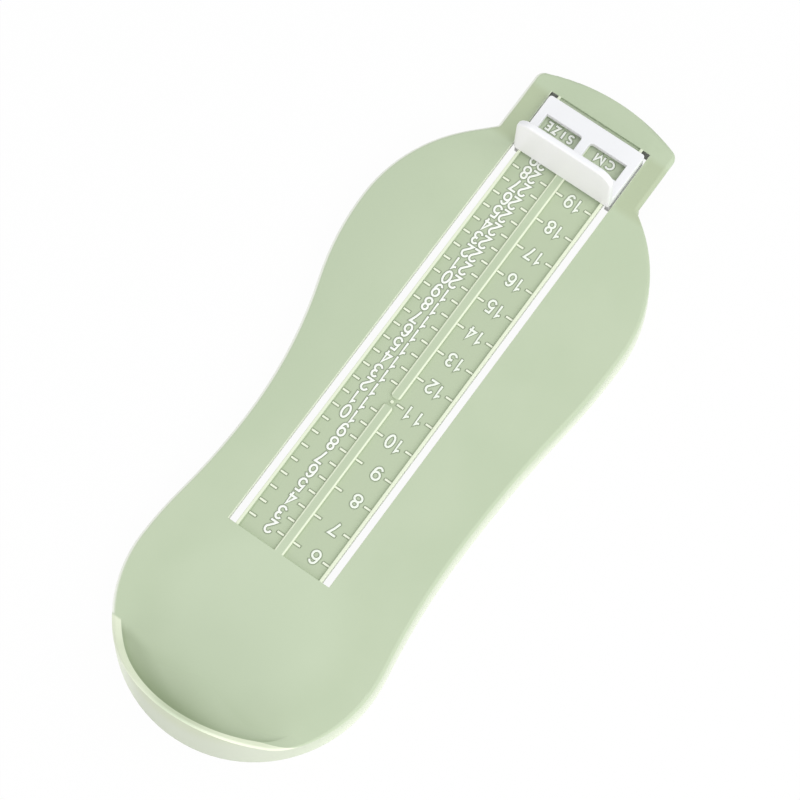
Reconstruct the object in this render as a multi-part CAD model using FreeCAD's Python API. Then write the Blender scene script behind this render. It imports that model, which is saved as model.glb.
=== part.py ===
import FreeCAD, Part
import math
import os

# Foot measuring board: a one-piece moulded sole with a heel cup and a sunken
# double scale, and a white toe slider that straddles the scale strip.
# +Y runs from the heel to the toes, so Y is the reading. Z = 0 is the floor.
# Millimetres throughout.

# Sole outline, seen from above. Each long side bends into the waist, out to
# the ball and round to a straight shoulder that ends at the neck of the tab.
# A turn is the share of the way at which a bend changes its direction.
heel_radius = 39.9
heel_x = 5.0
heel_y = 37.0
left_waist_x = 31.65
left_waist_y = 82.2
left_waist_turn = 0.38
left_ball_x = 44.15
left_ball_turn = 0.61
left_ball_radius = 48.4
left_shoulder_deg = 45.4
right_waist_x = 41.1
right_waist_y = 82.3
right_waist_turn = 0.17
right_ball_x = 46.0
right_ball_turn = 0.65
right_ball_radius = 46.9
right_shoulder_deg = 35.4
neck_round = 1.2
left_tab_length = 26.6
right_tab_length = 25.55
tab_crown_x = 1.0
tab_crown_radius = 62.0
tab_corner_radius = 2.8

# Sole section
body_height = 9.0
plate_wall = 2.0
skirt_wall = 2.0
draft_deg = 2.5
plate_edge_round = 1.2

# Heel cup
rim_height = 19.5
rim_wall = 1.9
rim_slope_deg = 58.0
rim_blend_radius = 8.5
rim_outer_round = 0.5
cup_fillet_back = 14.0
cup_fillet_end = 1.2
cup_end_deg = 54.0
cup_slices = 4

# Scale strip, its sunken columns and the two guide slots
scale_start_y = 55.0
scale_end_y = 215.45
end_land = 8.65
strip_half_width = 15.0
slot_width = 2.45
side_land = 6.75
column_outer_x = 14.03
column_depth = 0.9
rib_width = 3.1
rib_gap_y = 109.8
rib_gap = 2.6
rib_end_round = 1.0
rib_edge_round = 0.5
gate_mark_radius = 0.6
gate_mark_height = 0.5
lip_round = 0.25
strip_thickness = 2.4
strip_beam_x = 9.0
beam_width = 1.2
beam_depth = 5.4
rail_setback = 2.0
rail_width = 1.6
rail_depth = 5.4

# Ribs under the sole
rib_wall = 1.4
cross_rib_depth = 5.0
cross_rib_pitch = 32.0
heel_rib_y = 39.0

# Toe slider
park_gap = 1.75
slider_length = 19.3
slider_half_width = 16.8
frame_thickness = 1.7
ride_clearance = 0.1
frame_corner_radius = 0.9
frame_edge_round = 0.25
stop_height = 19.4
stop_thickness = 2.1
stop_draft_deg = 1.8
stop_corner_radius = 5.0
stop_edge_round = 0.7
stop_root_fillet = 2.2
window_length = 5.9
window_back_bar = 5.7
window_outer_x = 14.1
window_inner_x = 1.45
window_corner_radius = 1.0
side_clearance = 0.2
outer_clearance = 0.65
leg_depth = 5.3
leg_setback = 1.0
hook_length = 4.6
hook_reach = 0.9
hook_clearance = 0.15
hook_height = 1.1

V = FreeCAD.Vector
up = V(0, 0, 1)
slack = 1.0  # how far a cutting tool reaches past what it cuts
slot_outer_x = strip_half_width + slot_width
rail_inner_x = slot_outer_x + rail_setback
tab_half_width = slot_outer_x + side_land
tab_end_y = scale_end_y + end_land
left_neck_y = tab_end_y - left_tab_length
right_neck_y = tab_end_y - right_tab_length
slider_front_y = scale_end_y - park_gap - slider_length
leg_inner_x = strip_half_width + side_clearance
leg_outer_x = slot_outer_x - outer_clearance
strip_under_z = body_height - strip_thickness
plate_under_z = body_height - plate_wall
rim_top_z = body_height + rim_height
draft = math.tan(math.radians(draft_deg))
rim_slope = math.radians(rim_slope_deg)
rim_run = rim_height / math.tan(rim_slope)
rim_foot_y = heel_y - heel_radius + rim_height * draft + rim_run
rim_blend_length = rim_blend_radius * math.tan(rim_slope / 2)
cup_inner_radius = heel_radius - rim_height * draft - rim_wall


def box(x0, x1, y0, y1, z0, z1):
    """Block between two corners."""
    return Part.makeBox(x1 - x0, y1 - y0, z1 - z0, V(x0, y0, z0))


def both_sides(shape):
    """The shape and its copy mirrored across the scale's centre plane."""
    return shape.fuse(shape.mirror(V(0, 0, 0), V(1, 0, 0)))


def arc(start, middle, end):
    return Part.Arc(start, middle, end).toShape()


def bend(centre, radius, start, end, place):
    """Arc whose outward direction turns from start to end, as seen on the right
    side. A hollow's radius is negative."""
    sign, grow, z = place
    points = []
    for turn in (start, (start + end) / 2, end):
        reach = radius + grow
        points.append(V(sign * (centre.x + reach * math.cos(turn)), centre.y + reach * math.sin(turn), z))
    return arc(*points)


def s_bend(start, end, share, place):
    """Two arcs between two upright ends, which meet at a share of the way."""
    way = end - start
    turn = 2 * math.atan(-way.x / way.y)
    total = way.y / math.sin(turn)
    first = total * share
    second = first - total
    return [bend(start - V(first, 0, 0), first, 0, turn, place),
            bend(end - V(second, 0, 0), second, turn, 0, place)]


def shoulder(ball_x, radius, shoulder_deg, neck_y):
    """How far the ball's arc turns, and the height y of its centre. A ball too big
    for the shoulder's slope turns until a short straight is left at the neck."""
    width = ball_x - tab_half_width
    turn = math.pi / 2 - math.radians(shoulder_deg)
    straight = width / math.sin(turn) - radius * math.tan(turn / 2)
    if straight < neck_round:
        straight = neck_round
        turn = math.acos((radius - width) / math.hypot(radius, straight)) - math.atan(straight / radius)
    return turn, neck_y - radius * math.sin(turn) - straight * math.cos(turn)


def long_side(waist, waist_turn, ball_x, ball_turn, radius, shoulder_deg, neck_y, place):
    """Heel to neck edges of one side, heel end first."""
    sign, grow, z = place
    turn, ball_y = shoulder(ball_x, radius, shoulder_deg, neck_y)
    ball = V(ball_x, ball_y, 0)
    heel = V(sign * heel_x + heel_radius, heel_y, 0)
    edges = s_bend(heel, waist, waist_turn, place) + s_bend(waist, ball, ball_turn, place)
    edges.append(bend(ball - V(radius, 0, 0), radius, 0, turn, place))
    # the shoulder and the tab's side both move out, so the neck climbs
    neck_rise = grow * (math.sin(turn) - (1 - math.cos(turn)) / math.tan(turn))
    neck = V(sign * (tab_half_width + grow), neck_y + neck_rise, z)
    edges.append(Part.makeLine(edges[-1].Vertexes[-1].Point, neck))
    return edges


def tab_edges(right_neck, left_neck, grow, z):
    """Tab outline from the right neck round the crowned end to the left neck."""
    corner = tab_corner_radius + grow
    crown = V(tab_crown_x, tab_end_y - tab_crown_radius, z)
    reach = tab_crown_radius - tab_corner_radius
    corners = []
    for sign in (1, -1):
        # centre of the corner arc: tangent to the side and inside the crown
        across = sign * (tab_half_width - tab_corner_radius) - tab_crown_x
        centre = V(across, math.sqrt(reach ** 2 - across ** 2), 0)
        side = V(sign, 0, 0)
        touch = V(centre).normalize()
        blend = (side + touch).normalize()
        corners.append([crown + centre + way * corner for way in (side, blend, touch)])
    right, left = corners
    peak = crown + V(0, tab_crown_radius + grow, 0)
    return [Part.makeLine(right_neck, right[0]), arc(*right), arc(right[2], peak, left[2]),
            arc(*reversed(left)), Part.makeLine(left[0], left_neck)]


def outline(grow, z):
    """Closed sole outline, moved out by grow, at height z."""
    radius = heel_radius + grow
    right = long_side(V(right_waist_x, right_waist_y, 0), right_waist_turn, right_ball_x,
                      right_ball_turn, right_ball_radius, right_shoulder_deg, right_neck_y, (1, grow, z))
    left = long_side(V(left_waist_x, left_waist_y, 0), left_waist_turn, left_ball_x,
                     left_ball_turn, left_ball_radius, left_shoulder_deg, left_neck_y, (-1, grow, z))
    heel = arc(V(heel_x - radius, heel_y, z), V(heel_x, heel_y - radius, z),
               V(heel_x + radius, heel_y, z))
    tab = tab_edges(right[-1].Vertexes[-1].Point, left[-1].Vertexes[-1].Point, grow, z)
    return Part.Wire(Part.__sortEdges__([heel] + right + tab + left))


def sole_block(inset, z0, z1):
    """Drafted solid inside the sole outline, inset by a wall."""
    low = outline((body_height - z0) * draft - inset, z0)
    high = outline((body_height - z1) * draft - inset, z1)
    return Part.makeLoft([low, high], True, True)


def cone_radius(radius_at_plate, z):
    """Radius of a drafted wall round the heel at height z."""
    return radius_at_plate - (z - body_height) * draft


def heel_cone(radius_at_plate, z0, z1):
    """Drafted round block on the heel's centre line."""
    low = cone_radius(radius_at_plate, z0)
    high = cone_radius(radius_at_plate, z1)
    return Part.makeCone(low, high, z1 - z0, V(heel_x, heel_y, z0), up)


def side_view():
    """Everything under the board's side view: sloping rim, blend and plate."""
    side = heel_x - 2 * heel_radius
    behind = heel_y - 2 * heel_radius
    ahead = tab_end_y + tab_corner_radius
    over = 2 * slack

    def at(y, z):
        return V(side, y, z)

    peak = at(rim_foot_y - rim_run - over / math.tan(rim_slope), rim_top_z + over)
    slope_end = at(rim_foot_y - rim_blend_length * math.cos(rim_slope),
                   body_height + rim_blend_length * math.sin(rim_slope))
    plate_start = at(rim_foot_y + rim_blend_length, body_height)
    centre = V(side, plate_start.y, body_height + rim_blend_radius)
    inward = V(0, -math.sin(rim_slope / 2), -math.cos(rim_slope / 2))
    edges = [
        Part.makeLine(at(behind, 0), at(behind, peak.z)),
        Part.makeLine(at(behind, peak.z), peak),
        Part.makeLine(peak, slope_end),
        arc(slope_end, centre + inward * rim_blend_radius, plate_start),
        Part.makeLine(plate_start, at(ahead, body_height)),
        Part.makeLine(at(ahead, body_height), at(ahead, 0)),
        Part.makeLine(at(ahead, 0), at(behind, 0)),
    ]
    face = Part.Face(Part.Wire(edges))
    return face.extrude(V(4 * heel_radius, 0, 0))


def cup_fillet(angle):
    """Radius between the cup's wall and its floor: full at the back, fading
    out at the two ends of the rim."""
    fade = math.cos(math.pi / 2 * angle / math.radians(cup_end_deg)) ** 2
    return cup_fillet_end + (cup_fillet_back - cup_fillet_end) * fade


def cup_section(angle, grow):
    """Radial slice of the space for the heel, grown by a wall."""
    floor_z = body_height - grow
    top_z = rim_top_z + slack
    near = cup_inner_radius / 2
    wall = cup_inner_radius + grow
    fillet = cup_fillet(angle) + grow

    def at(radius, z):
        return V(heel_x + radius * math.sin(angle), heel_y - radius * math.cos(angle), z)

    turn = fillet * math.sin(math.pi / 4)
    return Part.Wire([
        Part.makeLine(at(near, floor_z), at(wall - fillet, floor_z)),
        arc(at(wall - fillet, floor_z),
            at(wall - fillet + turn, floor_z + fillet - turn),
            at(wall, floor_z + fillet)),
        Part.makeLine(at(wall, floor_z + fillet), at(wall, top_z)),
        Part.makeLine(at(wall, top_z), at(near, top_z)),
        Part.makeLine(at(near, top_z), at(near, floor_z)),
    ])


def cup_hollow(grow):
    """The space for the heel, lofted round the heel's centre line."""
    end = math.radians(cup_end_deg)
    steps = range(-cup_slices, cup_slices + 1)
    sections = [cup_section(end * step / cup_slices, grow) for step in steps]
    return Part.makeLoft(sections, True, False)


def is_neck_corner(edge):
    """Upright edge where the shoulder meets the tab."""
    low, high = edge.Vertexes[0].Point, edge.Vertexes[-1].Point
    neck_y = right_neck_y if high.x > 0 else left_neck_y
    beside_tab = abs(abs(high.x) - tab_half_width) < slack and abs(high.y - neck_y) < slack
    return beside_tab and abs(high.z - low.z) > body_height / 2


def round_edges(shape, rounds):
    """Round edges by (edge, radius at its start, radius at its end)."""
    codes = [edge.hashCode() for edge in shape.Edges]
    document = FreeCAD.newDocument("rounds")
    sharp = document.addObject("Part::Feature", "sharp")
    sharp.Shape = shape
    fillet = document.addObject("Part::Fillet", "fillet")
    fillet.Base = sharp
    fillet.Edges = [(codes.index(edge.hashCode()) + 1, start, end) for edge, start, end in rounds]
    document.recompute()
    result = fillet.Shape.copy()
    FreeCAD.closeDocument(document.Name)
    return result


def upper_round(z):
    """Radius of the upper edge at height z: full on the plate, fine on the rim."""
    blend_top = body_height + rim_blend_length * math.sin(rim_slope)
    share = min(1, max(0, (z - body_height) / (blend_top - body_height)))
    return plate_edge_round + (rim_outer_round - plate_edge_round) * share


def outer_block():
    """Board and heel cup as one solid, with the upper edge rounded all round."""
    block = sole_block(0, 0, rim_top_z + slack).common(side_view())
    block = block.makeFillet(neck_round, [edge for edge in block.Edges if is_neck_corner(edge)])
    edges = []
    for face in block.Faces:
        if face.BoundBox.ZMin > body_height - slack / 10:
            edges += face.Edges
    codes = [edge.hashCode() for edge in edges]
    rim = [edge for edge in edges if codes.count(edge.hashCode()) == 1]
    rounds = []
    for edge in rim:
        first, last = edge.ParameterRange
        start, end = edge.valueAt(first).z, edge.valueAt(last).z
        rounds.append((edge, upper_round(start), upper_round(end)))
    return round_edges(block, rounds)


def heel_wedge():
    """Room under the heel cup, a wall away from it on every side."""
    outside = heel_cone(heel_radius - skirt_wall, plate_under_z, rim_top_z)
    behind = heel_y - 2 * heel_radius
    front = box(heel_x - heel_radius, heel_x + heel_radius, behind, rim_foot_y,
                plate_under_z, rim_top_z)
    return outside.common(front).cut(cup_hollow(plate_wall))


def slot_frame():
    """Guide rails beside both slots, joined across both ends."""
    outer_x = rail_inner_x + rail_width
    bottom = body_height - rail_depth
    frame = box(-outer_x, outer_x, scale_start_y - rail_width, scale_end_y + rail_width,
                bottom, plate_under_z)
    opening = box(-rail_inner_x, rail_inner_x, scale_start_y, scale_end_y, bottom, plate_under_z)
    return frame.cut(opening)


def strip_underside():
    """Thick strip between the slots, with two beams along it."""
    strip = box(-strip_half_width, strip_half_width, scale_start_y, scale_end_y,
                strip_under_z, plate_under_z)
    beam = box(strip_beam_x - beam_width / 2, strip_beam_x + beam_width / 2,
               scale_start_y, scale_end_y, body_height - beam_depth, plate_under_z)
    return strip.fuse(both_sides(beam))


def sole_ribs():
    """Cross ribs from the slot frame to the skirt, and the spine to the heel."""
    reach = right_ball_x + skirt_wall
    inner_x = rail_inner_x + rail_width / 2
    bottom = body_height - cross_rib_depth
    frame_y = scale_start_y - rail_width / 2
    spine = box(-rib_wall / 2, rib_wall / 2, heel_y - heel_radius, frame_y, -slack, rim_top_z)
    ribs = [spine]
    count = int((scale_end_y - heel_rib_y) / cross_rib_pitch) + 1
    for number in range(count):
        y = heel_rib_y + number * cross_rib_pitch
        low, high = y - rib_wall / 2, y + rib_wall / 2
        if y < frame_y:
            ribs.append(box(-reach, reach, low, high, bottom, plate_under_z))
        else:
            ribs.append(both_sides(box(inner_x, reach, low, high, bottom, plate_under_z)))
    return ribs


def neck_walls():
    """The skirt's turn from each neck in to the rails."""
    inner_x = rail_inner_x + rail_width / 2
    right = box(inner_x, right_ball_x, right_neck_y - skirt_wall, right_neck_y, -slack, plate_under_z)
    left = box(-left_ball_x, -inner_x, left_neck_y - skirt_wall, left_neck_y, -slack, plate_under_z)
    return [right, left]


def tab_relief():
    """Space under the tab, which is a bare tongue as thick as the plate."""
    end_y = tab_end_y + slack
    right = box(0, right_ball_x, right_neck_y, end_y, -slack, plate_under_z)
    left = box(-left_ball_x, 0, left_neck_y, end_y, -slack, plate_under_z)
    return [right, left]


def underside():
    """Open room under the sole, less everything that stands in it."""
    room = sole_block(skirt_wall, -slack, plate_under_z).fuse(heel_wedge()).removeSplitter()
    room = room.cut(neck_walls()).fuse(tab_relief()).removeSplitter()
    return room.cut([slot_frame(), strip_underside()] + sole_ribs())


def slots():
    """The two through slots that the slider's legs run in."""
    return both_sides(box(strip_half_width, slot_outer_x, scale_start_y, scale_end_y,
                          -slack, body_height + slack))


def centre_rib(low, high, floor_z, top_z):
    """Length of the rib between the columns, rounded at its free ends."""
    rib = box(-rib_width / 2, rib_width / 2, low, high, floor_z, top_z)
    free = [end for end in (low, high) if scale_start_y < end < scale_end_y]
    corners = [edge for edge in rib.Edges if edge.BoundBox.ZLength > column_depth
               and min(abs(edge.BoundBox.YMin - end) for end in free) < slack / 10]
    return rib.makeFillet(rib_end_round, corners)


def columns():
    """Sunken number columns: one pocket, less the centre rib in two lengths."""
    floor_z = body_height - column_depth
    top_z = body_height + slack
    pocket = box(-column_outer_x, column_outer_x, scale_start_y, scale_end_y, floor_z, top_z)
    ribs = [centre_rib(scale_start_y - slack, rib_gap_y - rib_gap / 2, floor_z, top_z),
            centre_rib(rib_gap_y + rib_gap / 2, scale_end_y - rib_gap, floor_z, top_z)]
    gate = Part.makeCone(gate_mark_radius, gate_mark_radius - gate_mark_height / 4,
                         gate_mark_height, V(0, rib_gap_y, floor_z), up)
    return pocket.cut(ribs + [gate])


def is_scale_edge(edge):
    """Upper edge of a slot, a column or the centre rib."""
    limits = edge.BoundBox
    on_plate = abs(limits.ZMin - body_height) < slack / 100 and limits.ZLength < slack / 100
    across = max(abs(limits.XMin), abs(limits.XMax)) < slot_outer_x + slack / 10
    along = limits.YMin > scale_start_y - slack / 10 and limits.YMax < scale_end_y + slack / 10
    return on_plate and across and along


def is_rib_edge(edge):
    return max(abs(edge.BoundBox.XMin), abs(edge.BoundBox.XMax)) < (rib_width + slack) / 2


def foot_base():
    body = outer_block().cut(cup_hollow(0)).removeSplitter()
    for tool in (underside(), slots(), columns()):
        body = body.cut(tool)
    body = body.Solids[0]
    rounds = []
    for edge in body.Edges:
        if is_scale_edge(edge):
            radius = rib_edge_round if is_rib_edge(edge) else lip_round
            rounds.append((edge, radius, radius))
    return round_edges(body, rounds).Solids[0]


def slider_frame():
    """Flat frame with two reading windows."""
    rear_y = slider_front_y + slider_length
    under_z = body_height + ride_clearance
    frame = box(-slider_half_width, slider_half_width, slider_front_y, rear_y,
                under_z, under_z + frame_thickness)
    back_corners = [edge for edge in frame.Edges
                    if edge.BoundBox.ZLength > frame_thickness / 2 and edge.BoundBox.YMin > rear_y - slack]
    frame = frame.makeFillet(frame_corner_radius, back_corners)
    front_corners = [edge for edge in frame.Edges
                     if edge.BoundBox.ZLength > frame_thickness / 2
                     and edge.BoundBox.YMax < slider_front_y + slack / 10]
    frame = frame.makeFillet(stop_edge_round, front_corners)
    window_y = rear_y - window_back_bar
    window = box(window_inner_x, window_outer_x, window_y - window_length, window_y,
                 under_z - slack, under_z + frame_thickness + slack)
    inner_corner = [edge for edge in window.Edges
                    if edge.BoundBox.ZLength > frame_thickness
                    and edge.BoundBox.XMax < window_inner_x + slack / 10
                    and edge.BoundBox.YMin > window_y - slack / 10]
    window = window.makeFillet(window_corner_radius, inner_corner)
    frame = frame.cut(both_sides(window))
    top_z = under_z + frame_thickness
    upper = [edge for edge in frame.Edges if edge.BoundBox.ZMin > top_z - slack / 10]
    return frame.makeFillet(frame_edge_round, upper)


def toe_stop():
    """Upright plate across the slider's front, drafted in to its rounded corners."""
    under_z = body_height + ride_clearance
    # the ends are upright as far as the fillet at the stop's root
    knee_z = under_z + frame_thickness + stop_root_fillet + slack
    top_z = body_height + stop_height
    top_x = slider_half_width - (top_z - knee_z) * math.tan(math.radians(stop_draft_deg))
    right = [(slider_half_width, under_z), (slider_half_width, knee_z), (top_x, top_z)]
    left = [(-x, z) for x, z in reversed(right)]
    points = [V(x, slider_front_y, z) for x, z in right + left + right[:1]]
    plate = Part.Face(Part.makePolygon(points)).extrude(V(0, stop_thickness, 0))
    corners = [edge for edge in plate.Edges
               if edge.BoundBox.YLength > stop_thickness / 2 and edge.BoundBox.ZMin > top_z - slack]
    plate = plate.makeFillet(stop_corner_radius, corners)
    rim = []
    for face in plate.Faces:
        if face.BoundBox.YLength < slack / 10:
            rim += [edge for edge in face.Edges if edge.BoundBox.ZMax > under_z + slack]
    return plate.makeFillet(stop_edge_round, rim)


def leg():
    """Upright wall that runs in the right slot, hung from a bar within the frame."""
    start_y = slider_front_y + leg_setback
    end_y = slider_front_y + slider_length - leg_setback
    under_z = body_height + ride_clearance
    wall = box(leg_inner_x, leg_outer_x, start_y, end_y, body_height - leg_depth, under_z)
    return wall.fuse(box(window_outer_x, leg_outer_x, start_y, end_y, under_z, under_z + frame_thickness / 2))


def hook():
    """Barb at the leg's middle that catches under the strip, with a lead-in below it."""
    y = slider_front_y + (slider_length - hook_length) / 2
    catch_z = strip_under_z - hook_clearance
    tip_x = leg_inner_x - hook_reach
    profile = Part.makePolygon([
        V(leg_inner_x, y, catch_z), V(tip_x, y, catch_z),
        V(tip_x, y, catch_z - hook_height), V(leg_inner_x, y, body_height - leg_depth),
        V(leg_inner_x, y, catch_z)])
    return Part.Face(profile).extrude(V(0, hook_length, 0))


def toe_slider():
    body = slider_frame().fuse(toe_stop())
    seat_z = body_height + ride_clearance + frame_thickness
    root = [edge for edge in body.Edges
            if edge.BoundBox.XLength > slider_half_width and edge.BoundBox.ZLength < slack / 10
            and abs(edge.BoundBox.ZMin - seat_z) < slack / 10
            and abs(edge.BoundBox.YMin - slider_front_y - stop_thickness) < slack / 10]
    body = body.makeFillet(stop_root_fillet, root)
    body = body.fuse(both_sides(leg().fuse(hook()))).removeSplitter()
    return body.Solids[0]


def export(shape, name):
    shape.exportStep("parts/" + name + ".step")


os.makedirs("parts", exist_ok=True)
export(foot_base(), "foot_base")
export(toe_slider(), "toe_slider")
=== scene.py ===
import math

import bmesh
import bpy
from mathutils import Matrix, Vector


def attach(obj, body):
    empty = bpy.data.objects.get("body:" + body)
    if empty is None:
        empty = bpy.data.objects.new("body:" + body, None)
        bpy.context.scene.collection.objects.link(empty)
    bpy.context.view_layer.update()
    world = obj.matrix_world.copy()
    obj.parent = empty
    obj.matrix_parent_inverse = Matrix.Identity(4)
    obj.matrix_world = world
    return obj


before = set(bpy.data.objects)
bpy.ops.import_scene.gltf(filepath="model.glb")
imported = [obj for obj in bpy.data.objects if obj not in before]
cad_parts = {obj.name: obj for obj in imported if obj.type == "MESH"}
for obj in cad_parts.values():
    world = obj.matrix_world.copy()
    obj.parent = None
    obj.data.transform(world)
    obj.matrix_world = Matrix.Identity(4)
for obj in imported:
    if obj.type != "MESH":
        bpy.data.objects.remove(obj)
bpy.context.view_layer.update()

mm = 0.001
scene = bpy.context.scene
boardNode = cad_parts["foot_base"]
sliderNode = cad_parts["toe_slider"]


class Val:  # a shader socket that can be added, multiplied and mixed like a number
    def __init__(self, shader, socket):
        self.shader = shader
        self.socket = socket

    def math(self, operation, other=0.0, swapped=False):
        values = (other, self) if swapped else (self, other)
        settings = {"operation": operation}
        return self.shader.node("ShaderNodeMath", settings, dict(enumerate(values)))

    def __add__(self, other):
        return self.math("ADD", other)

    def __sub__(self, other):
        return self.math("SUBTRACT", other)

    def __rsub__(self, other):
        return self.math("SUBTRACT", other, True)

    def __mul__(self, other):
        return self.math("MULTIPLY", other)

    def __truediv__(self, other):
        return self.math("DIVIDE", other)

    def __abs__(self):
        return self.math("ABSOLUTE")

    __radd__ = __add__
    __rmul__ = __mul__


class Shader:  # one material and the nodes that make it
    def __init__(self, name):
        self.material = bpy.data.materials.new(name)
        self.material.use_nodes = True
        self.tree = self.material.node_tree
        self.tree.nodes.clear()
        self.output = self.tree.nodes.new("ShaderNodeOutputMaterial")

    def put(self, socket, value):
        if isinstance(value, Val):
            self.tree.links.new(value.socket, socket)
        else:
            socket.default_value = value

    def node(self, kind, settings=None, inputs=None, out=0):
        made = self.tree.nodes.new(kind)
        for key, value in (settings or {}).items():
            setattr(made, key, value)
        for key, value in (inputs or {}).items():
            self.put(made.inputs[key], value)
        return Val(self, made.outputs[out])

    def place(self):  # where a point lies on the part, in millimetres
        spot = self.node("ShaderNodeTexCoord", out=3)
        return self.node("ShaderNodeVectorMath", {"operation": "SCALE"}, {0: spot, "Scale": 1 / mm})

    def axis(self, vector, name):
        return self.node("ShaderNodeSeparateXYZ", inputs={0: vector}, out="XYZ".index(name))

    def noise(self, vector, scale, detail):
        inputs = {"Vector": vector, "Scale": scale, "Detail": detail}
        return self.node("ShaderNodeTexNoise", inputs=inputs)

    def ramp(self, value, low, high):  # 0 below low, 1 above high, smooth between
        settings = {"interpolation_type": "SMOOTHSTEP"}
        return self.node("ShaderNodeMapRange", settings, {0: value, 1: low, 2: high})

    def between(self, value, low, high, soft):  # 1 from low to high, with soft ends
        rising = self.ramp(value, low - soft, low + soft)
        return rising * (1 - self.ramp(value, high - soft, high + soft))

    def mix(self, factor, first, second):
        inputs = {0: factor, 6: first, 7: second}
        return self.node("ShaderNodeMix", {"data_type": "RGBA"}, inputs, out=2)

    def bump(self, height, distance):
        return self.node("ShaderNodeBump", inputs={"Height": height, "Distance": distance})

    def finish(self, shader):
        self.tree.links.new(shader.socket, self.output.inputs["Surface"])
        return self.material


def linear(red, green, blue):  # a colour as picked from a screen, made ready for a shader
    parts = [value / 255 for value in (red, green, blue)]
    return (*[v / 12.92 if v <= 0.04045 else ((v + 0.055) / 1.055) ** 2.4 for v in parts], 1)


viewOfPart = {
    "lookAt": (1.648, 111.41, 9.0),
    "azimuth": 35.469,
    "elevation": 71.843,
    "distance": 874.0,
    "lens": 137.975,
    "sensor": 36.0,
}


def makeCamera():
    azimuth = math.radians(viewOfPart["azimuth"])
    elevation = math.radians(viewOfPart["elevation"])
    data = bpy.data.cameras.new("camera")
    data.sensor_width = viewOfPart["sensor"]
    data.lens = viewOfPart["lens"]
    camera = bpy.data.objects.new("camera", data)
    flat = Vector((math.sin(azimuth), -math.cos(azimuth), 0))
    back = flat * math.cos(elevation) + Vector((0, 0, math.sin(elevation)))
    camera.location = (Vector(viewOfPart["lookAt"]) + back * viewOfPart["distance"]) * mm
    camera.rotation_euler = (math.pi / 2 - elevation, 0, azimuth)
    scene.collection.objects.link(camera)
    scene.camera = camera


makeCamera()
print("camera placed")


lightBox = {
    "floorSize": 3.0,
    "floorColour": (0.93, 0.93, 0.93, 1),
    "whiteOfView": 0.96,  # how much of the floor's own shading the view leaves out
    "skyStrength": 0.73,
    "lamps": [  # place, size in metres, power
        ((0.75, 0.16, 0.75), 1.0, 4.85),
        ((0.1, -1.1, 0.28), 0.8, 4.2),
    ],
}


def seenDirectly(shader):  # 1 for what the camera sees itself, in a gloss or through glass
    rays = shader.tree.nodes.new("ShaderNodeLightPath")
    parts = [Val(shader, rays.outputs[name])
             for name in ("Is Camera Ray", "Is Glossy Ray", "Is Transmission Ray")]
    total = parts[0] + parts[1] + parts[2]
    return shader.node("ShaderNodeClamp", inputs={0: total})


def makeFloor():
    shader = Shader("pale floor")
    matte = shader.node("ShaderNodeBsdfDiffuse", inputs={"Color": lightBox["floorColour"]})
    glow = shader.node("ShaderNodeEmission", inputs={"Color": (1, 1, 1, 1), "Strength": 1.0})
    share = seenDirectly(shader) * lightBox["whiteOfView"]
    shader.finish(shader.node("ShaderNodeMixShader", inputs={0: share, 1: matte, 2: glow}))
    half = lightBox["floorSize"] / 2
    mesh = bpy.data.meshes.new("floor")
    corners = [(-half, -half, 0), (half, -half, 0), (half, half, 0), (-half, half, 0)]
    mesh.from_pydata(corners, [], [(0, 1, 2, 3)])
    mesh.materials.append(shader.material)
    floor = bpy.data.objects.new("floor", mesh)
    scene.collection.objects.link(floor)


def makeLight():
    world = bpy.data.worlds.new("studio")
    scene.world = world
    world.use_nodes = True
    tree = world.node_tree
    tree.nodes.clear()
    rays = tree.nodes.new("ShaderNodeLightPath")
    sky = tree.nodes.new("ShaderNodeBackground")
    sky.inputs["Strength"].default_value = lightBox["skyStrength"]
    white = tree.nodes.new("ShaderNodeBackground")
    both = tree.nodes.new("ShaderNodeMixShader")
    output = tree.nodes.new("ShaderNodeOutputWorld")
    tree.links.new(rays.outputs["Is Camera Ray"], both.inputs[0])
    tree.links.new(sky.outputs[0], both.inputs[1])
    tree.links.new(white.outputs[0], both.inputs[2])
    for background in (sky, white):
        background.inputs["Color"].default_value = (1, 1, 1, 1)
    tree.links.new(both.outputs[0], output.inputs["Surface"])
    for place, size, power in lightBox["lamps"]:
        data = bpy.data.lights.new("softbox", "AREA")
        data.size = size
        data.energy = power
        lamp = bpy.data.objects.new("softbox", data)
        lamp.location = place
        aim = Vector(viewOfPart["lookAt"]) * mm - lamp.location
        lamp.rotation_euler = aim.to_track_quat("-Z", "Y").to_euler()
        scene.collection.objects.link(lamp)


makeFloor()
makeLight()
scene.view_settings.view_transform = "Standard"
print("floor and light placed")


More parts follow.
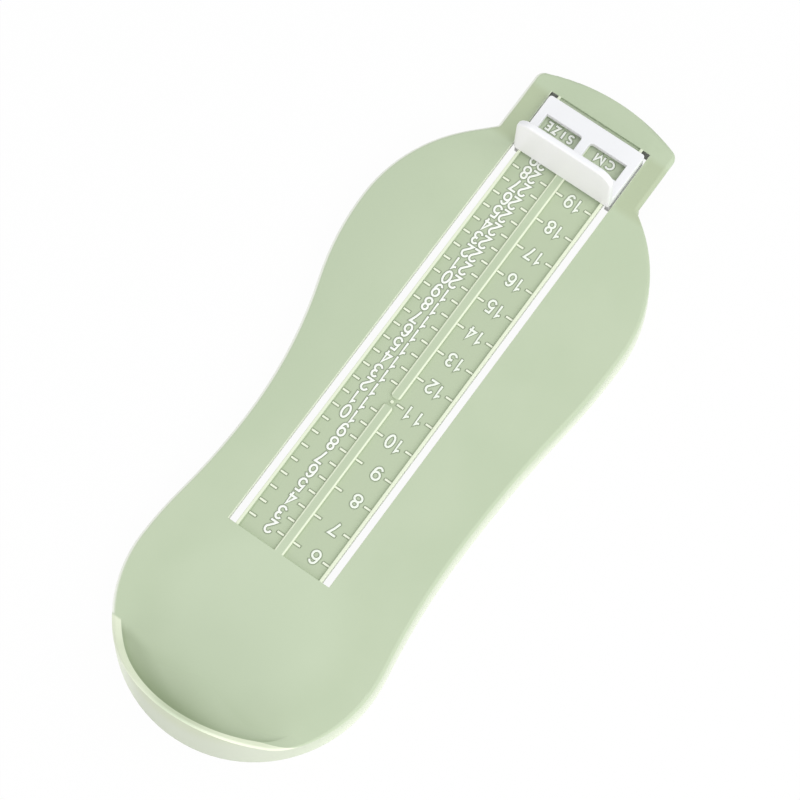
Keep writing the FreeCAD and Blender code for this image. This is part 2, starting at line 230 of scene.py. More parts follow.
greenPlastic = {
    "colour": (196, 210, 181),
    "cloud": (192, 207, 177),
    "edgeHighlight": (249, 252, 242),  # painted highlight: the thin left edge, as if light came through it
    "wallLight": (233, 240, 220),  # painted light: the skirt, paler towards its foot
    "heel": (193, 200, 181),  # painted shade: outside of the heel; heelTop below is its top, darker still
    "heelTop": (190, 198, 171),
    "floor": (206, 220, 192),  # painted light: the middle of the heel, lighter
    "rimHighlight": (244, 251, 226),  # painted highlight: top of the heel cup's rim
    "lipHighlight": (236, 244, 219),  # painted highlight: lips of the slots and of the centre rib
    # painted light: the slots' walls, nearly white
    "slotWallLight": (248, 253, 236),
    # painted shade: the columns' sunk floor, a little darker
    "recess": (190, 204, 174),
    "windowLight": (204, 213, 192),  # painted light: under the parked slider's windows, lighter
    "grooveShade": (168, 182, 152),  # painted shade: the recess along its edges and towards the toe
    "cupShade": (150, 165, 132),  # painted shade: inside the heel cup, against its wall
    "shade": (187, 202, 173),  # a little darker along the left side
    # painted shade: the tab beside the parked slider
    "tab": (184, 197, 164),
    # painted shade: the far ends of the slots
    "slotEndShade": (96, 104, 88),
    "strokeShade": (120, 134, 106),  # painted shade: along the foot of the numerals and marks
    "cloudScale": 0.03,
    "cloudDetail": 3.0,
    "cloudRange": (0.35, 0.65),
    "roughness": 0.45,
    "roughnessSwing": 0.12,
    "grainScale": 3.0,
    "grainDetail": 3.0,
    "grain": 0.004,  # millimetres
}
whitePlastic = {
    "colour": (250, 251, 253),
    "cloud": (246, 247, 250),
    "face": (250, 247, 251),  # painted light: the stop's face, in its own tone for how it is lit
    "cloudScale": 0.05,
    "cloudDetail": 2.0,
    "facing": (0.5, 0.9),  # how squarely the face has to look at the heel
    "roughness": 0.38,
    "roughnessSwing": 0.12,
    "grainScale": 4.0,
    "grainDetail": 3.0,
    "grain": 0.003,
}
whitePrint = {"colour": (252, 255, 250), "worn": (240, 247, 232), "roughness": 0.5}
softPrint = {"colour": (247, 253, 243), "worn": (236, 244, 226), "roughness": 0.5}
creamPrint = {"colour": (244, 250, 230), "worn": (232, 240, 214), "roughness": 0.5}
printWear = {"scale": 1.5, "detail": 3.0, "range": (0.4, 0.9), "share": 0.5}

boardShape = {  # millimetres, as the board is built
    "heelX": 5.0,
    "heelY": 37.0,
    "cupRadius": 37.2,
    "cupEndY": 15.5,
    "rimEndY": 13.9,
    "plateZ": 9.0,
    "recessZ": 8.1,
    "lipX": 14.03,
    "stripX": 15.0,
    "slotX": 17.45,
    "scaleStartY": 55.0,
    "ribX": 1.55,
    "ribGapY": 109.8,
    "scaleEndY": 215.45,
    "tabStartY": 195.5,
    "tabShadeEndY": 214.5,
}


def tone(name):
    return linear(*greenPlastic[name])


def grainOf(shader, place, finish):
    return shader.noise(place, finish["grainScale"], finish["grainDetail"])


def plastic(shader, finish, colour, grain):
    inputs = {
        "Base Color": colour,
        "Roughness": finish["roughness"] + (grain - 0.5) * finish["roughnessSwing"],
        "Normal": shader.bump(grain, finish["grain"] * mm),
    }
    return shader.finish(shader.node("ShaderNodeBsdfPrincipled", inputs=inputs))


regions = {  # how softly the regions of the board begin and end, in millimetres
    "inHeel": 0.02,
    "cupEnd": 3,
    "alongScale": 0.2,
    "middleX": (-2, 2),
    "outside": 0.1,
    "outerY": (5, 30),
    "steep": (0.2, 0.75),  # how far a steep face may look up
}


class Spot:  # a point of the board, as the functions for its tones see it
    def __init__(self, shader, place):
        self.x, self.y, self.z = [shader.axis(place, name) for name in "XYZ"]
        self.across = abs(self.x)
        facing = shader.node("ShaderNodeTexCoord", out=1)
        self.upward = shader.axis(facing, "Z")
        self.sideways = shader.axis(facing, "X")
        dx = self.x - boardShape["heelX"]
        dy = self.y - boardShape["heelY"]
        self.fromHeel = (dx * dx + dy * dy).math("POWER", 0.5)
        self.sine = dx / self.fromHeel  # of the angle round the heel, 0 at its back
        radius, soft = boardShape["cupRadius"], regions["inHeel"]
        self.inHeel = 1 - shader.ramp(self.fromHeel, radius - soft, radius + soft)
        endY = boardShape["cupEndY"]
        self.inCup = self.inHeel * (1 - shader.ramp(self.y, endY - regions["cupEnd"], endY))
        self.outside = shader.ramp(self.fromHeel, radius, radius + regions["outside"])
        self.outer = self.outside * (1 - shader.ramp(self.y, *regions["outerY"]))
        self.steep = 1 - shader.ramp(self.upward, *regions["steep"])
        ends = boardShape["scaleStartY"], boardShape["scaleEndY"]
        self.alongScale = shader.between(self.y, *ends, regions["alongScale"])
        self.onRight = shader.ramp(self.x, *regions["middleX"])


plateTones = {  # here and below: lengths in millimetres, shares from 0 to 1
    "leftX": (-42, -14),
    "leftY": (85, 190, 25),  # from, to, softness
    "leftShare": 0.6,
    "heelRadius": (18, 32),
    "heelShare": 0.5,
    "tabSoft": 1.5,
    "tabFromSlot": (-0.5, 1.0),
    "tabShare": 0.9,
}


def shadePlate(shader, spot, colour):
    given = plateTones
    left = 1 - shader.ramp(spot.x, *given["leftX"])
    left = left * shader.between(spot.y, *given["leftY"])
    colour = shader.mix(left * given["leftShare"], colour, tone("shade"))
    # painted light: the middle of the heel made a little lighter
    middle = spot.inHeel * (1 - shader.ramp(spot.fromHeel, *given["heelRadius"]))
    colour = shader.mix(middle * given["heelShare"], colour, tone("floor"))
    # painted shade: the tab beside the parked slider darker
    ends = boardShape["tabStartY"], boardShape["tabShadeEndY"]
    tab = shader.between(spot.y, *ends, given["tabSoft"])
    tab = tab * shader.ramp(spot.across - boardShape["slotX"], *given["tabFromSlot"])
    return shader.mix(tab * given["tabShare"], colour, tone("tab"))


columnTones = {
    "aboveFloor": (0.1, 0.4),
    "edgeSoft": 0.1,
    "grooveFromLip": (-0.6, -0.05),
    "grooveShade": (0.9, 0.3),  # left column, right column
    "ribFoot": 0.4,
    "ribGapHalf": 1.4,
    "ribGapSoft": 0.2,
    "farY": (100, 200),
    "far": (0.35, 0.2),  # left column, right column
    "grooveShare": 0.6,
    "windowY": (201, 202.5),
    "windowLight": (1.0, 0.5),  # left column, right column
    "windowShare": 0.6,
}


def shadeColumns(shader, spot, colour):
    given = columnTones

    def leftToRight(name):
        left, right = given[name]
        return left - spot.onRight * (left - right)

    lipX, ribX, gapY = boardShape["lipX"], boardShape["ribX"], boardShape["ribGapY"]
    # painted shade: the columns' sunk floor a little darker
    recess = 1 - shader.ramp(spot.z - boardShape["recessZ"], *given["aboveFloor"])
    recess = recess * spot.alongScale
    recess = recess * (1 - shader.ramp(spot.across, lipX, lipX + given["edgeSoft"]))
    colour = shader.mix(recess, colour, tone("recess"))
    # painted shade along the lips and the rib's foot, and growing towards the toe
    half = given["ribGapHalf"]
    ribGap = shader.between(spot.y, gapY - half, gapY + half, given["ribGapSoft"])
    grooveShade = shader.ramp(spot.across - lipX, *given["grooveFromLip"]) * leftToRight("grooveShade")
    ribFoot = 1 - shader.ramp(spot.across, ribX, ribX + given["ribFoot"])
    grooveShade = grooveShade + ribFoot * (1 - ribGap)
    far = shader.ramp(spot.y, *given["farY"]) * leftToRight("far")
    grooveShade = recess * grooveShade.math("MAXIMUM", far)
    colour = shader.mix(grooveShade * given["grooveShare"], colour, tone("grooveShade"))
    # painted light: the floor under the parked slider's windows made lighter
    windowLight = recess * shader.ramp(spot.y, *given["windowY"]) * leftToRight("windowLight")
    return shader.mix(windowLight * given["windowShare"], colour, tone("windowLight"))


cupTones = {
    "height": 9,  # over which the painted shade on the wall grows darker
    "foot": 0.42,  # share of that darkness at its foot
    "backY": 2,
    "rightSine": (-0.1, 0.5),
    "rightLess": 0.35,
    "cornerReach": 13.2,
    "cornerLength": 11,
    "cornerEndY": (10.5, 14.5),
    "corner": 0.45,
    "leftX": (17, 23),
    "leftMore": 0.3,
}


def shadeCup(shader, spot, colour):
    given = cupTones
    plateZ = boardShape["plateZ"]
    # painted shade inside the heel cup, and a painted shadow of its left wall
    rising = shader.ramp(spot.z, plateZ, plateZ + given["height"])
    cupShade = spot.inCup * (given["foot"] + rising * (1 - given["foot"]))
    cupShade = cupShade * (1 - shader.ramp(spot.y, given["backY"], boardShape["cupEndY"]))
    cupShade = cupShade * (1 - shader.ramp(spot.sine, *given["rightSine"]) * given["rightLess"])
    colour = shader.mix(cupShade, colour, tone("cupShade"))
    reach = given["cornerReach"] - spot.x - spot.y * 2  # the shadow's edge runs aslant
    corner = spot.inCup * shader.ramp(reach, 0, given["cornerLength"])
    corner = corner * (1 - shader.ramp(spot.y, *given["cornerEndY"]))
    left = shader.ramp(spot.x * -1, *given["leftX"]) * given["leftMore"]
    return shader.mix(corner * (given["corner"] + left), colour, tone("cupShade"))


heelTones = {
    "outerZ": (13, 24),
    "leftSine": (0.2, 0.65),
    "leftPale": 0.9,
    "rightSine": (0.2, 0.75),
    "rightPale": 0.3,
    "narrowSine": (0.6, 0.82),  # where the rim's painted highlight grows narrower on the right
    "narrowBy": 2.6,
    "rimSoft": 0.15,
    "rimUpward": (0.2, 0.5),
    "rimEndSoft": 0.4,
    "rimBack": 0.3,
    "rimLeftSine": (0, 0.3),
    "rimLeft": 0.5,
    "rimRightSine": (0.1, 0.5),
    "rimRight": 0.7,
}


def shadeHeel(shader, spot, colour):
    given = heelTones
    radius, endY = boardShape["cupRadius"], boardShape["rimEndY"]
    # painted shade on the outside of the heel, with its sides made paler by painted light
    heel = shader.mix(shader.ramp(spot.z, *given["outerZ"]), tone("heel"), tone("heelTop"))
    side = shader.ramp(spot.sine * -1, *given["leftSine"]) * given["leftPale"]
    side = side + shader.ramp(spot.sine, *given["rightSine"]) * given["rightPale"]
    heel = shader.mix(side, heel, tone("wallLight"))
    colour = shader.mix(spot.steep * spot.outer, colour, heel)
    # painted highlight along the top of the cup's rim
    narrowed = spot.fromHeel - shader.ramp(spot.sine, *given["narrowSine"]) * given["narrowBy"]
    rimHighlight = shader.ramp(narrowed, radius, radius + given["rimSoft"])
    rimHighlight = rimHighlight * shader.ramp(spot.upward, *given["rimUpward"])
    soft = given["rimEndSoft"]
    rimHighlight = rimHighlight * (1 - shader.ramp(spot.y, endY - soft, endY + soft))
    left = shader.ramp(spot.sine * -1, *given["rimLeftSine"]) * given["rimLeft"]
    right = shader.ramp(spot.sine, *given["rimRightSine"]) * given["rimRight"]
    return shader.mix(rimHighlight * (given["rimBack"] + left + right), colour, tone("rimHighlight"))


skirtTones = {
    "footZ": 0.5,
    "lift": 0.4,  # how pale the painted light leaves the skirt at its top
    "darkY": (120, 150, 10),  # where it isn't: from, to, softness
    "tab": (1, 3),
    "edgeFacing": (0.15, 0.6),
    "edgeFromSlot": (2, 3),
    "heelEdge": (38.7, 39.7),
    "heelSine": (0.4, 0.6),
    "heelEndY": (26, 42),
    "edgeStart": (-0.2, 0.8),  # past the rim's end
    "edgeUpward": (0.1, 0.3),
}


def shadeSkirt(shader, spot, colour):
    given = skirtTones
    # painted light: the skirt's walls paler, most towards their foot, ending at the tab
    low = 1 - shader.ramp(spot.z, given["footZ"], boardShape["plateZ"])
    lift = given["lift"] - shader.between(spot.y, *given["darkY"]) * given["lift"]
    wallLight = (spot.steep - spot.steep * spot.inCup) * (1 - spot.outer)
    wallLight = wallLight * (lift + low - lift * low)
    wallLight = wallLight * (1 - shader.ramp(spot.y - boardShape["tabStartY"], *given["tab"]))
    colour = shader.mix(wallLight, colour, tone("wallLight"))
    # painted highlight on the rounding of the left edge and round the left of the heel
    edgeHighlight = shader.ramp(spot.sideways * -1, *given["edgeFacing"]) * spot.outside
    edgeHighlight = edgeHighlight * shader.ramp(spot.across - boardShape["slotX"], *given["edgeFromSlot"])
    heel = shader.ramp(spot.fromHeel, *given["heelEdge"])
    heel = heel * shader.ramp(spot.sine * -1, *given["heelSine"])
    heel = heel * (1 - shader.ramp(spot.y, *given["heelEndY"]))
    edgeHighlight = edgeHighlight.math("MAXIMUM", heel)
    edgeHighlight = edgeHighlight * shader.ramp(spot.y - boardShape["rimEndY"], *given["edgeStart"])
    edgeHighlight = edgeHighlight * shader.ramp(spot.upward, *given["edgeUpward"])
    return shader.mix(edgeHighlight, colour, tone("edgeHighlight"))


slotTones = {
    "lipStart": 0.1,
    "lipPast": 0.12,
    "ribLip": (-0.5, 0.1),
    "lipSoft": 0.12,
    "lipZ": (8.2, 8.6),
    "gateRadius": (0.7, 0.8),
    "gateHalf": 0.75,
    "gateSoft": 0.05,
    "wallPast": 0.05,
    "wallSoft": 0.02,
    "wallUpward": (0.1, 0.9),
    "wallFacing": (0.2, 0.6),
    "endY": (-1.9, -1.4),  # from the scale's far end
    "endPastY": (0.3, 0.5),
    "endBesideX": 0.1,
    "endZ": (8.3, 8.8),
    "endUpward": (-0.6, -0.4),
}


def shadeSlots(shader, spot, colour):
    given = slotTones
    lipX, stripX, slotX = boardShape["lipX"], boardShape["stripX"], boardShape["slotX"]
    ribX, gapY, endY = boardShape["ribX"], boardShape["ribGapY"], boardShape["scaleEndY"]
    # painted highlight on the lips of the slots, the rib's edges and the gap in the rib
    lipHighlight = shader.between(spot.across, lipX + given["lipStart"], slotX + given["lipPast"],
                         given["lipSoft"])
    inner, outer = given["ribLip"]
    ribLip = shader.between(spot.across, ribX + inner, ribX + outer, given["lipSoft"])
    half = given["gateHalf"]
    gate = 1 - shader.ramp(spot.across, *given["gateRadius"])
    gate = gate * shader.between(spot.y, gapY - half, gapY + half, given["gateSoft"])
    lipHighlight = lipHighlight.math("MAXIMUM", ribLip).math("MAXIMUM", gate)
    lipHighlight = lipHighlight * spot.alongScale * shader.ramp(spot.z, *given["lipZ"])
    colour = shader.mix(lipHighlight, colour, tone("lipHighlight"))
    # painted light: the slots' walls that face +x made nearly white
    past = given["wallPast"]
    wallLight = shader.between(spot.across, stripX - past, slotX + past, given["wallSoft"])
    wallLight = wallLight * spot.alongScale * (1 - shader.ramp(spot.upward, *given["wallUpward"]))
    wallLight = wallLight * shader.ramp(spot.sideways, *given["wallFacing"])
    colour = shader.mix(wallLight, colour, tone("slotWallLight"))
    # painted shade: the walls at the far ends of the slots nearly black
    end = shader.ramp(spot.y - endY, *given["endY"])
    end = end * shader.ramp(spot.across, stripX - given["endBesideX"], stripX)
    end = end * (1 - shader.ramp(spot.across, slotX, slotX + past))
    end = end * (1 - shader.ramp(spot.z, *given["endZ"]))
    end = end * (1 - shader.ramp(spot.y - endY, *given["endPastY"]))
    end = end * shader.ramp(spot.upward, *given["endUpward"])
    return shader.mix(end, colour, tone("slotEndShade"))


def makeGreen():
    shader = Shader("green moulded plastic")
    place = shader.place()
    spot = Spot(shader, place)
    cloud = shader.noise(place, greenPlastic["cloudScale"], greenPlastic["cloudDetail"])
    cloud = shader.ramp(cloud, *greenPlastic["cloudRange"])
    colour = shader.mix(cloud, tone("colour"), tone("cloud"))
    # these paint light and shade into the plastic's colour: highlights, pale walls, shade and
    # shadows
    for shade in (shadePlate, shadeColumns, shadeCup, shadeHeel, shadeSkirt, shadeSlots):
        colour = shade(shader, spot, colour)
    return plastic(shader, greenPlastic, colour, grainOf(shader, place, greenPlastic))


def makeCrease():  # painted shade: the same plastic, darker towards the foot of a raised stroke
    shader = Shader("green plastic painted stroke shade")
    place = shader.place()
    depth = shader.node("ShaderNodeAttribute", {"attribute_name": "depth"}, out=2)
    colour = shader.mix(shader.ramp(depth, 0, 1), tone("recess"), tone("strokeShade"))
    return plastic(shader, greenPlastic, colour, grainOf(shader, place, greenPlastic))


def makeWhite():
    shader = Shader("white moulded plastic")
    place = shader.place()
    given = whitePlastic
    cloud = shader.noise(place, given["cloudScale"], given["cloudDetail"])
    colour = shader.mix(cloud, linear(*given["colour"]), linear(*given["cloud"]))
    # painted light: faces turned to the heel, such as the stop's, take their own tone
    facing = shader.axis(shader.node("ShaderNodeTexCoord", out=1), "Y")
    face = shader.ramp(facing * -1, *given["facing"])
    colour = shader.mix(face, colour, linear(*given["face"]))
    return plastic(shader, given, colour, grainOf(shader, place, given))


def makePrint(name, finish):
    shader = Shader(name)
    wear = shader.noise(shader.place(), printWear["scale"], printWear["detail"])
    wear = shader.ramp(wear, *printWear["range"]) * printWear["share"]
    colour = shader.mix(wear, linear(*finish["colour"]), linear(*finish["worn"]))
    inputs = {"Base Color": colour, "Roughness": finish["roughness"]}
    return shader.finish(shader.node("ShaderNodeBsdfPrincipled", inputs=inputs))


def dress(node, material):
    for slot in node.material_slots:
        slot.material = material


green = makeGreen()
strokeShade = makeCrease()
white = makeWhite()
whiteStroke = makePrint("white print", whitePrint)
softStroke = makePrint("soft white print", softPrint)
creamStroke = makePrint("cream print", creamPrint)
dress(boardNode, green)
dress(sliderNode, white)
print("plastics mixed")


def finishPiece(bm, name, body, material):
    bmesh.ops.recalc_face_normals(bm, faces=bm.faces[:])
    mesh = bpy.data.meshes.new(name)
    bm.to_mesh(mesh)
    bm.free()
    if not mesh.materials:
        mesh.materials.append(material)
    piece = bpy.data.objects.new(name, mesh)
    scene.collection.objects.link(piece)
    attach(piece, body)
    return piece


stroke = {  # one raised stroke of a numeral or a mark, in millimetres
    "width": 0.65,
    "rise": 0.22,
    "sink": 0.05,
    "crown": (0.6, 0.94),  # share of the half width, share of the rise
    "shoulder": 0.55,  # share of the rise
    "mitreLimit": 0.45,
    "joinGap": 0.001,  # ends nearer than this are one point
    "shadeStart": 0.8,  # where the painted shade starts, as a share of the half width
    "shadeWidth": 0.5,
    "shadeRise": 0.012,
    "shadeFoot": 0.004,
}


def barProfile(width):  # across the stroke: offset, height, share of painted shade
    half = width / 2
    rise = stroke["rise"]
    crownWidth, crownHeight = stroke["crown"]
    right = [
        (0, rise, 0),
        (half * crownWidth, rise * crownHeight, 0),
        (half, rise * stroke["shoulder"], 0),
        (half, -stroke["sink"], 0),
    ]
    return [(-offset, height, depth) for offset, height, depth in right[:0:-1]] + right


# a thin sheet round a stroke's foot, which carries painted shade
def creaseProfile(width):
    half = width / 2
    outer = half + stroke["shadeWidth"]
    inner = half * stroke["shadeStart"]
    right = [(inner, stroke["shadeRise"], 1), (outer, stroke["shadeFoot"], 0)]
    return [(-offset, height, depth) for offset, height, depth in right[::-1]] + right


def framesAlong(points):  # each point with its directions, and whether the line is closed
    flat = [Vector((x, y, 0)) for x, y in points]
    closed = (flat[0] - flat[-1]).length < stroke["joinGap"]
    if closed:
        flat.pop()
    count = len(flat)
    frames = []
    for index, point in enumerate(flat):
        before = flat[index - 1] if index or closed else None
        after = flat[(index + 1) % count] if index < count - 1 or closed else None
        arriving = (point - before).normalized() if before else (after - point).normalized()
        leaving = (after - point).normalized() if after else arriving
        along = (arriving + leaving).normalized()
        mitre = max(stroke["mitreLimit"], along.dot(arriving))
        side = Vector((-along.y, along.x, 0)) / mitre
        frames.append((point, side, along))
    return frames, closed


def sweep(bm, points, profile, floorZ, fade):
    # draws the profile along the points; fade carries an open one past both ends with no painted
    # shade
    layers = bm.verts.layers.float
    depthLayer = layers.get("depth") or layers.new("depth")
    frames, closed = framesAlong(points)
    rows = [(point, side, 1) for point, side, along in frames]
    if fade and not closed:
        first, last = frames[0], frames[-1]
        rows.insert(0, (first[0] - first[2] * fade, first[1], 0))
        rows.append((last[0] + last[2] * fade, last[1], 0))
    rings = []
    for point, side, share in rows:
        ring = []
        for offset, height, depth in profile:
            rise = height if share else stroke["shadeFoot"]
            vert = bm.verts.new((point + side * offset + Vector((0, 0, floorZ + rise))) * mm)
            vert[depthLayer] = depth * share
            ring.append(vert)
        rings.append(ring)
    pairs = list(zip(rings, rings[1:]))
    if closed:
        pairs.append((rings[-1], rings[0]))
    around = len(profile) if not fade else len(profile) - 1
    for ring, following in pairs:
        for k in range(around):
            after = (k + 1) % len(profile)
            bm.faces.new((ring[k], ring[after], following[after], following[k]))
    if not closed and not fade:
        bm.faces.new(rings[0])
        bm.faces.new(rings[-1][::-1])


def drawStroke(bars, strokeShades, points, width, floorZ):
    sweep(bars, points, barProfile(width), floorZ, 0)
    sweep(strokeShades, points, creaseProfile(width), floorZ, stroke["shadeWidth"])


marks = {  # the strokes beside the numerals, in millimetres
    "width": 0.62,
    "length": 2.25,
    "sizePitch": 5.0,
    "sizeCount": 27,
    "sizeInnerX": -2.9,
    "sizeOuterX": -12.73,
    "lengthPitch": 10.0,
    "lengthCount": 14,
    "lengthInnerX": 2.7,
    "lengthOuterX": 12.8,
    "firstY": 60.0,
    "missingY": 110.0,  # the inner size mark that the gap in the rib replaces
    "sameY": 0.0001,  # metres
}


class Tree:  # a geometry node tree with named inputs
    def __init__(self, name):
        self.tree = bpy.data.node_groups.new(name, "GeometryNodeTree")
        self.tree.interface.new_socket("Geometry", in_out="OUTPUT",
                                       socket_type="NodeSocketGeometry")
        self.source = self.tree.nodes.new("NodeGroupInput")
        self.sink = self.tree.nodes.new("NodeGroupOutput")

    def given(self, name, kind):
        self.tree.interface.new_socket(name, in_out="INPUT", socket_type="NodeSocket" + kind)
        return self.source.outputs[name]

    def node(self, kind, settings=None, inputs=None, out=0):
        made = self.tree.nodes.new(kind)
        for key, value in (settings or {}).items():
            setattr(made, key, value)
        for key, value in (inputs or {}).items():
            if isinstance(value, bpy.types.NodeSocket):
                self.tree.links.new(value, made.inputs[key])
            else:
                made.inputs[key].default_value = value
        return made.outputs[out]

    def end(self, geometry):
        self.tree.links.new(geometry, self.sink.inputs[0])
        return self.tree


def makeMarkTree():  # a row of one stroke, with one place left out
    tree = Tree("row of marks")
    mark = tree.given("Mark", "Object")
    count = tree.given("Count", "Int")
    first = tree.given("First", "Vector")
    step = tree.given("Step", "Vector")
    missing = tree.given("Missing", "Float")
    material = tree.given("Material", "Material")
    line = tree.node("GeometryNodeMeshLine",
                     inputs={"Count": count, "Start Location": first, "Offset": step})
    place = tree.node("GeometryNodeInputPosition")
    y = tree.node("ShaderNodeSeparateXYZ", inputs={0: place}, out=1)
    isMissing = tree.node("FunctionNodeCompare", {"data_type": "FLOAT", "operation": "EQUAL"},
                          {0: y, 1: missing, "Epsilon": marks["sameY"]})
    kept = tree.node("GeometryNodeDeleteGeometry", inputs={0: line, "Selection": isMissing})
    shape = tree.node("GeometryNodeObjectInfo", inputs={"Object": mark}, out="Geometry")
    row = tree.node("GeometryNodeInstanceOnPoints",
                    inputs={"Points": kept, "Instance": shape})
    real = tree.node("GeometryNodeRealizeInstances", inputs={0: row})
    return tree.end(tree.node("GeometryNodeSetMaterial", inputs={0: real, "Material": material}))


def runTree(tree, values):  # the plain mesh that a tree makes of these named inputs
    holder = bpy.data.objects.new("holder", bpy.data.meshes.new("holder"))
    scene.collection.objects.link(holder)
    modifier = holder.modifiers.new("nodes", "NODES")
    modifier.node_group = tree
    for item in tree.interface.items_tree:
        if item.name in values:
            modifier[item.identifier] = values[item.name]
    bpy.context.view_layer.update()
    graph = bpy.context.evaluated_depsgraph_get()
    mesh = bpy.data.meshes.new_from_object(holder.evaluated_get(graph))
    bpy.data.objects.remove(holder)
    return mesh


def singleMark(profile, fade):
    half = marks["length"] / 2
    bm = bmesh.new()
    sweep(bm, [(-half, 0), (half, 0)], profile, 0, fade)
    bmesh.ops.recalc_face_normals(bm, faces=bm.faces[:])
    mesh = bpy.data.meshes.new("mark")
    bm.to_mesh(mesh)
    bm.free()
    mark = bpy.data.objects.new("mark", mesh)
    scene.collection.objects.link(mark)
    return mark


def makeMarks(strokeShades):
    tree = makeMarkTree()
    bar = singleMark(barProfile(marks["width"]), 0)
    # the sheet of painted shade round a mark's foot
    foot = singleMark(creaseProfile(marks["width"]), stroke["shadeWidth"])
    firstY, floorZ = marks["firstY"] * mm, boardShape["recessZ"] * mm
    for scaleName in ("size", "length"):
        bm = bmesh.new()
        for column in ("InnerX", "OuterX"):
            skipped = marks["missingY"] if scaleName + column == "sizeInnerX" else 0
            for mark, target, material in ((bar, bm, creamStroke), (foot, strokeShades, strokeShade)):
                mesh = runTree(tree, {
                    "Mark": mark,
                    "Count": marks[scaleName + "Count"],
                    "First": (marks[scaleName + column] * mm, firstY, floorZ),
                    "Step": (0.0, marks[scaleName + "Pitch"] * mm, 0.0),
                    "Missing": skipped * mm,
                    "Material": material,
                })
                target.from_mesh(mesh)
                bpy.data.meshes.remove(mesh)
        finishPiece(bm, scaleName + "_marks", "base", creamStroke)
    for mark in (bar, foot):
        bpy.data.objects.remove(mark)


def bend(centreX, centreY, radiusX, radiusY, start, end, steps):  # angles in degrees
    points = []
    for step in range(steps + 1):
        turn = math.radians(start + (end - start) * step / steps)
        points.append((centreX + radiusX * math.cos(turn), centreY + radiusY * math.sin(turn)))
    return points


glyphs = {  # strokes in a unit cell: x from -0.5 to 0.5, y from 0 to 1
    "0": [bend(0, 0.5, 0.5, 0.5, 90, 450, 24)],
    "1": [[(-0.52, 0.76), (-0.2, 0.83), (0.0, 1.0), (0.0, 0.0)]],
    "2": [bend(0, 0.72, 0.48, 0.28, 172, -28, 14) + [(-0.22, 0.2), (-0.48, 0.0), (0.5, 0.0)]],
    "3": [bend(-0.02, 0.755, 0.42, 0.245, 160, -90, 14)
          + bend(-0.02, 0.265, 0.5, 0.265, 90, -160, 14)],
    "4": [[(0.5, 0.28), (-0.5, 0.28), (0.22, 1.0), (0.22, 0.0)]],
    "5": [[(0.42, 1.0), (-0.28, 1.0), (-0.4, 0.5)] + bend(0, 0.31, 0.5, 0.31, 140, -160, 16)],
    "6": [bend(0.02, 0.6, 0.46, 0.4, 35, 180, 10) + bend(0, 0.31, 0.48, 0.31, 180, 540, 22)],
    "7": [[(-0.48, 1.0), (0.5, 1.0), (0.12, 0.5), (-0.12, 0.0)]],
    "8": [bend(0, 0.76, 0.4, 0.24, -90, 270, 20), bend(0, 0.26, 0.48, 0.26, 90, 450, 20)],
    "9": [bend(-0.02, 0.4, 0.46, 0.4, 215, 360, 10) + bend(0, 0.69, 0.48, 0.31, 0, 360, 22)],
    "C": [bend(0, 0.5, 0.5, 0.5, 50, 310, 20)],
    "M": [[(-0.5, 0.0), (-0.5, 1.0), (0.0, 0.1), (0.5, 1.0), (0.5, 0.0)]],
    "S": [bend(0, 0.75, 0.44, 0.25, 30, 270, 12) + bend(0, 0.25, 0.48, 0.25, 90, -150, 12)[1:]],
    "I": [[(0, 0), (0, 1)]],
    "Z": [[(-0.45, 1), (0.45, 1), (-0.48, 0), (0.5, 0)]],
    "E": [[(0.45, 1), (-0.42, 1), (-0.42, 0), (0.48, 0)], [(-0.42, 0.52), (0.36, 0.52)]],
}

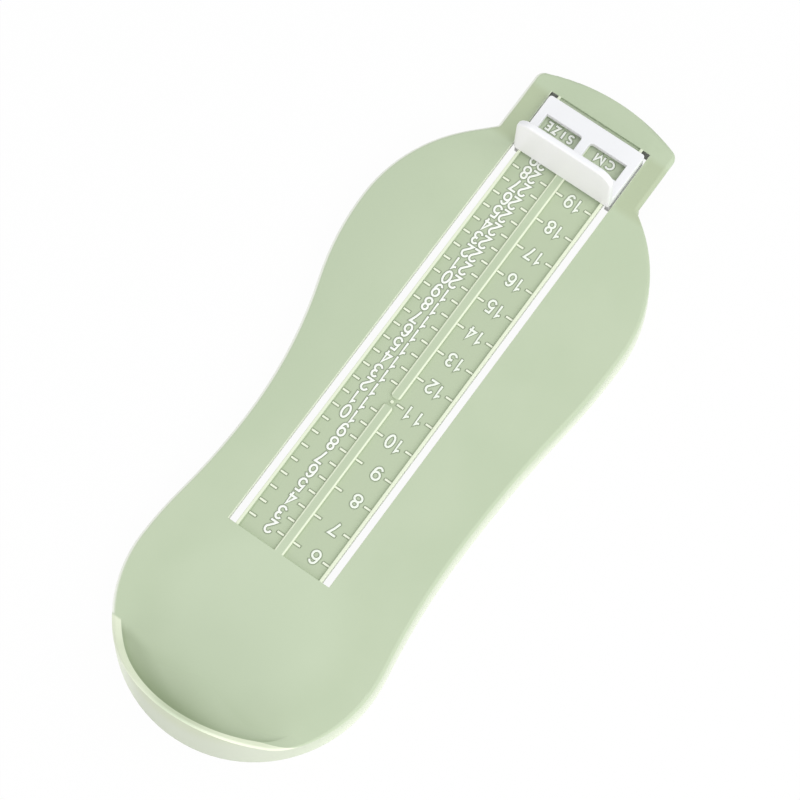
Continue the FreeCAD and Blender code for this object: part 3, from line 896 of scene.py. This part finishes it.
numerals = {  # sizes over the whole stroke, and places, in millimetres
    "height": 4.6,
    "sizeRange": (2, 30),
    "sizeZeroY": 50.0,
    "sizeLoneX": -6.63,
    "sizeLoneWidth": 2.7,
    "sizeTensX": -6.52,
    "sizeOnesX": -9.17,
    "sizeOneX": -9.77,  # a 1 in the ones' place
    "lengthRange": (6, 20),
    "lengthLoneX": 8.93,
    "lengthLoneWidth": 3.1,
    "lengthTensX": 9.04,
    "lengthOnesX": 6.39,
    "lengthOneX": 5.44,
    "pairWidth": 2.7,
}
labels = {  # generic words at the far end of the columns
    "height": 3.2,
    "y": 206.1,
    "stroke": 0.64,
    "CM": (9.5, 3.2, 3.5),  # first letter's x, width, spacing
    "SIZE": (-4.4, 2.1, 2.55),
}


def drawLetter(bars, strokeShades, letter, x, y, width, height, strokeWidth):
    # reads towards -x, with its top towards the heel
    for line in glyphs[letter]:
        points = [(x - u * (width - strokeWidth), y - (v - 0.5) * (height - strokeWidth))
                  for u, v in line]
        drawStroke(bars, strokeShades, points, strokeWidth, boardShape["recessZ"])


def drawNumber(bars, strokeShades, number, scaleName, y):
    text = str(number)
    height = numerals["height"]
    if len(text) == 1:
        drawLetter(bars, strokeShades, text, numerals[scaleName + "LoneX"], y,
                   numerals[scaleName + "LoneWidth"], height, stroke["width"])
        return
    onesX = numerals[scaleName + ("OneX" if text[1] == "1" else "OnesX")]
    tensX = numerals[scaleName + "TensX"]
    for letter, x in zip(text, (tensX, onesX)):
        drawLetter(bars, strokeShades, letter, x, y, numerals["pairWidth"], height,
                   stroke["width"])


def makeNumerals(strokeShades):
    bm = bmesh.new()
    low, high = numerals["lengthRange"]
    for length in range(low, high + 1):
        drawNumber(bm, strokeShades, length, "length", length * marks["lengthPitch"])
    finishPiece(bm, "length_numerals", "base", softStroke)
    bm = bmesh.new()
    low, high = numerals["sizeRange"]
    for size in range(low, high + 1):
        y = numerals["sizeZeroY"] + size * marks["sizePitch"]
        drawNumber(bm, strokeShades, size, "size", y)
    finishPiece(bm, "size_numerals", "base", whiteStroke)
    bm = bmesh.new()
    for word in ("CM", "SIZE"):
        x, width, spacing = labels[word]
        for index, letter in enumerate(word):
            drawLetter(bm, strokeShades, letter, x - index * spacing, labels["y"], width,
                       labels["height"], labels["stroke"])
    finishPiece(bm, "scale_labels", "base", whiteStroke)


# sheets of painted shade round the foot of every stroke
strokeShadeMesh = bmesh.new()
makeMarks(strokeShadeMesh)
print("marks laid out")
makeNumerals(strokeShadeMesh)
finishPiece(strokeShadeMesh, "stroke_creases", "base", strokeShade)
print("numerals drawn")
